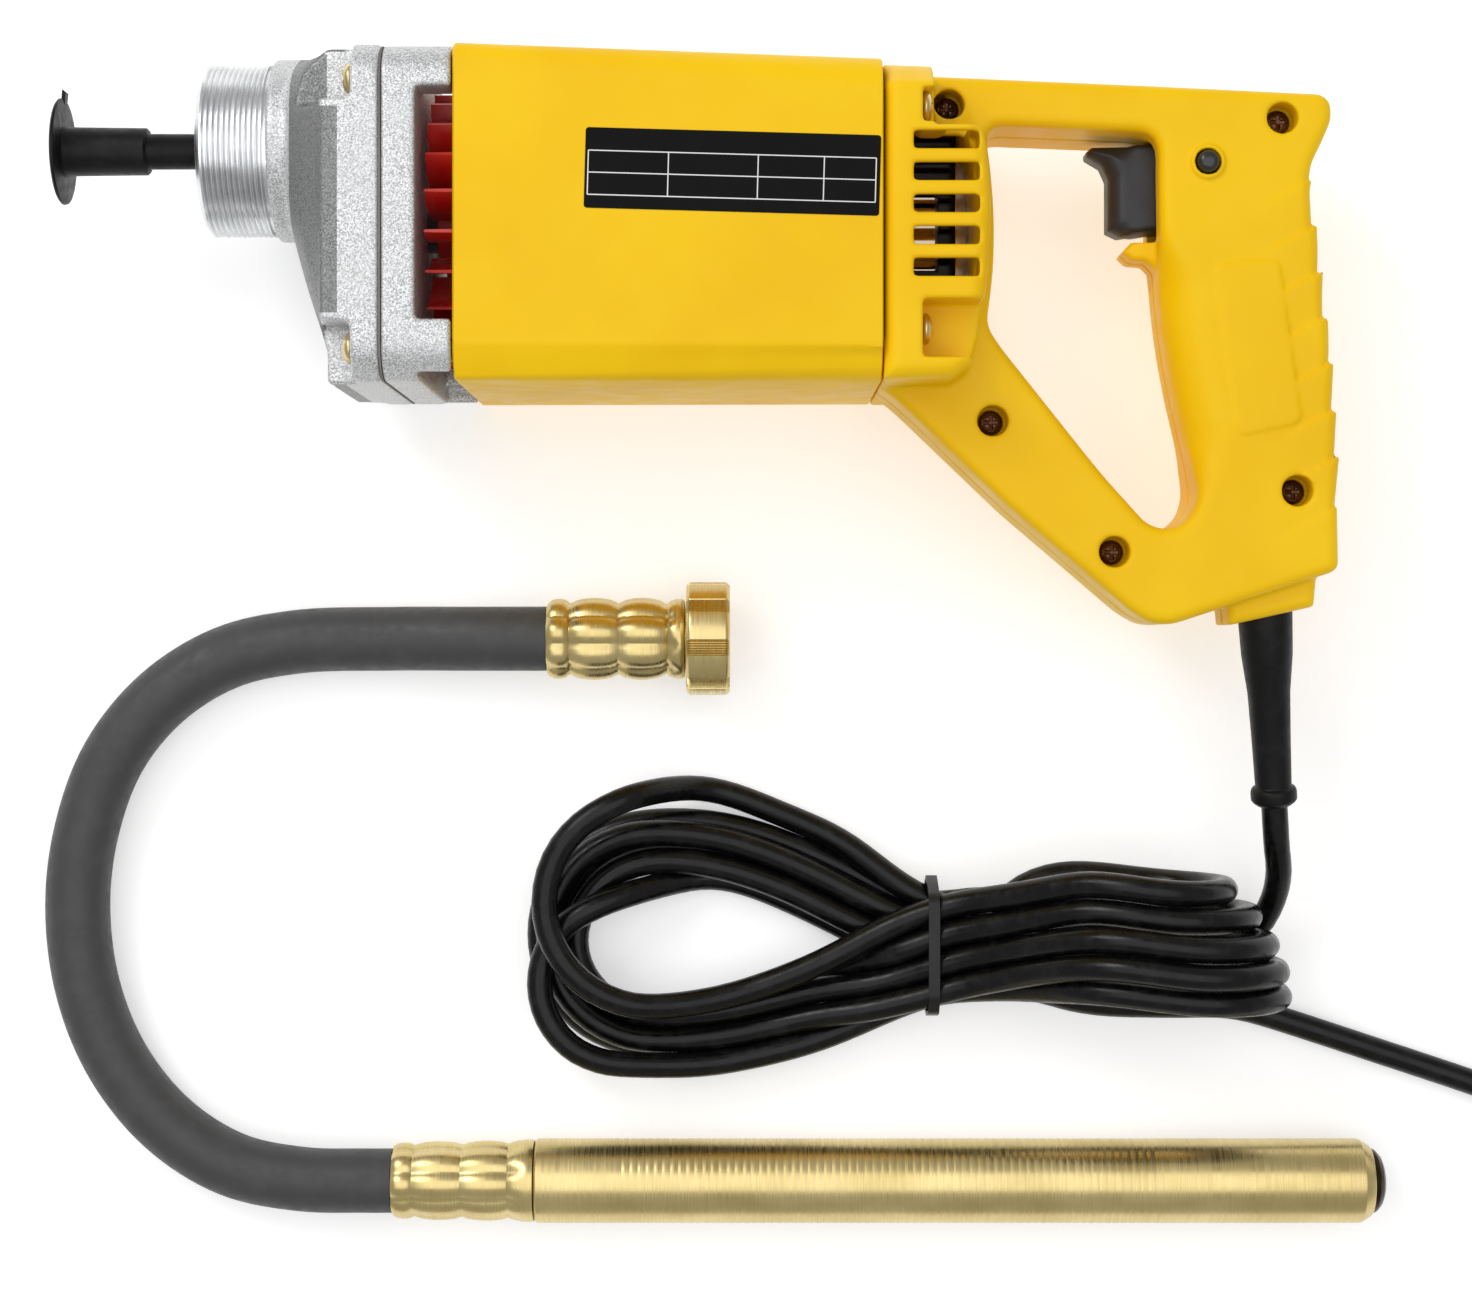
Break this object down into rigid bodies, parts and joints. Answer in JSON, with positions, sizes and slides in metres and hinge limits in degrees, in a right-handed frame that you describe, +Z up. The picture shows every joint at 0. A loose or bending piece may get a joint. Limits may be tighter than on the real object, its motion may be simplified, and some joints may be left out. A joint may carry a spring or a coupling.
{
  "type": "concrete vibrator",
  "caption": "Hand-held electric concrete vibrator: squared motor unit with D-handle, detached flexible shaft with a long poker, and a tied mains cord.",
  "frame": {"origin": "on the floor, under the middle of the box around the motor unit and the poker", "axes": "+X from the nose of the motor unit to its handle, +Z up from the floor, +Y from the poker to the motor unit"},
  "size_m": [0.529, 0.3553, 0.096],
  "materials": {
    "yellow_plastic": "semi-matte moulded",
    "cast_aluminium": "sand-cast and tumbled, machined nose",
    "gasket_fibre": "thin paper gasket",
    "bright_steel": "ground",
    "laminated_steel": "stacked laminations, varnished",
    "copper": "enamelled copper",
    "brass_plate": "satin plated, finely turned",
    "zinc_screw": "yellow zinc",
    "bronze_screw": "dark bronze",
    "black_plastic": "moulded",
    "charcoal_plastic": "fine texture",
    "hose_rubber": "smooth, dark grey",
    "black_rubber": "smooth, slightly glossy",
    "red_plastic": "moulded",
    "label_black": "printed film",
    "carbon": "pressed carbon"
  },
  "bodies": {
    "motor_unit": {"gear_case_front": "cast_aluminium", "case_gasket": "gasket_fibre", "gear_case_rear": "cast_aluminium", "case_screw_1": "zinc_screw", "case_screw_2": "zinc_screw", "case_screw_3": "zinc_screw", "case_screw_4": "zinc_screw", "spindle_bearing_front": "bright_steel", "spindle_bearing_rear": "bright_steel", "armature_bearing_front": "bright_steel", "armature_bearing_rear": "bright_steel", "spindle_seal": "black_plastic", "barrel_housing": "yellow_plastic", "name_plate": "label_black", "stator_core": "laminated_steel", "field_coil_1": "copper", "field_coil_2": "copper", "carbon_brush_1": "carbon", "brush_holder_1": "brass_plate", "carbon_brush_2": "carbon", "brush_holder_2": "brass_plate", "handle_shell_near": "yellow_plastic", "handle_shell_far": "yellow_plastic", "shell_screw_1": "bronze_screw", "shell_screw_2": "bronze_screw", "shell_screw_3": "bronze_screw", "shell_screw_4": "bronze_screw", "shell_screw_5": "bronze_screw", "housing_screw_1": "zinc_screw", "housing_screw_2": "zinc_screw", "housing_screw_3": "zinc_screw", "housing_screw_4": "zinc_screw", "trigger_spring": "bright_steel", "switch_body": "charcoal_plastic", "cord_clamp": "charcoal_plastic", "cord_boot": "black_rubber", "cord_lead": "black_rubber", "cord_hank": "black_rubber", "hank_tie": "black_plastic", "cord_tail": "black_rubber", "plug_body": "black_plastic"},
    "armature": {"armature_shaft": "bright_steel", "armature_core": "laminated_steel", "commutator": "copper", "cooling_fan": "red_plastic"},
    "spindle": {"output_spindle": "bright_steel", "output_gear": "bright_steel"},
    "trigger": {"trigger": "charcoal_plastic"},
    "lock_button": {"lock_button": "black_plastic"},
    "dust_plug": {"dust_plug": "black_plastic"},
    "flex_shaft": {"coupling_ferrule": "brass_plate", "hose": "hose_rubber", "poker_ferrule": "brass_plate", "poker_tube": "brass_plate", "poker_tip": "bronze_screw", "poker_bearing_1": "bright_steel", "poker_bearing_2": "bright_steel"},
    "coupling_nut": {"coupling_nut": "brass_plate"},
    "drive_tip": {"drive_tip": "bright_steel"},
    "rotor": {"eccentric_rotor": "bright_steel"}
  },
  "joints": [
    {"name": "armature_spin", "type": "hinge", "parent": "motor_unit", "child": "armature", "pos_m": [0, 0.1265, 0.048], "axis": [1, 0, 0], "continuous": true},
    {"name": "spindle_spin", "type": "hinge", "parent": "motor_unit", "child": "spindle", "pos_m": [0, 0.151, 0.048], "axis": [1, 0, 0], "continuous": true},
    {"name": "trigger_press", "type": "slide", "parent": "motor_unit", "child": "trigger", "axis": [1, 0, 0], "range_m": [0, 0.004], "stiffness_N_per_m": 500, "springref_m": -0.004, "deforming": ["trigger_spring"]},
    {"name": "lock_press", "type": "slide", "parent": "motor_unit", "child": "lock_button", "axis": [0, 0, -1], "range_m": [0, 0.0025], "stiffness_N_per_m": 300, "springref_m": -0.003},
    {"name": "dust_plug_pull", "type": "slide", "parent": "motor_unit", "child": "dust_plug", "axis": [-1, 0, 0], "range_m": [0, 0.04]},
    {"name": "flex_lift", "type": "slide", "parent": "motor_unit", "child": "flex_shaft", "axis": [0, 0, 1], "range_m": [0, 0.15]},
    {"name": "nut_spin", "type": "hinge", "parent": "flex_shaft", "child": "coupling_nut", "pos_m": [-0.008, 0.005, 0.0175], "axis": [1, 0, 0], "continuous": true},
    {"name": "rotor_spin", "type": "hinge", "parent": "flex_shaft", "child": "rotor", "pos_m": [0.05, -0.1643, 0.013], "axis": [1, 0, 0], "continuous": true},
    {"name": "drive_tip_spin", "type": "hinge", "parent": "flex_shaft", "child": "drive_tip", "pos_m": [-0.015, 0.005, 0.0175], "axis": [1, 0, 0], "continuous": true}
  ],
  "couplings": [
    {"joint": "spindle_spin", "follows": "armature_spin", "ratio": -0.53125},
    {"joint": "drive_tip_spin", "follows": "rotor_spin", "ratio": -1}
  ]
}
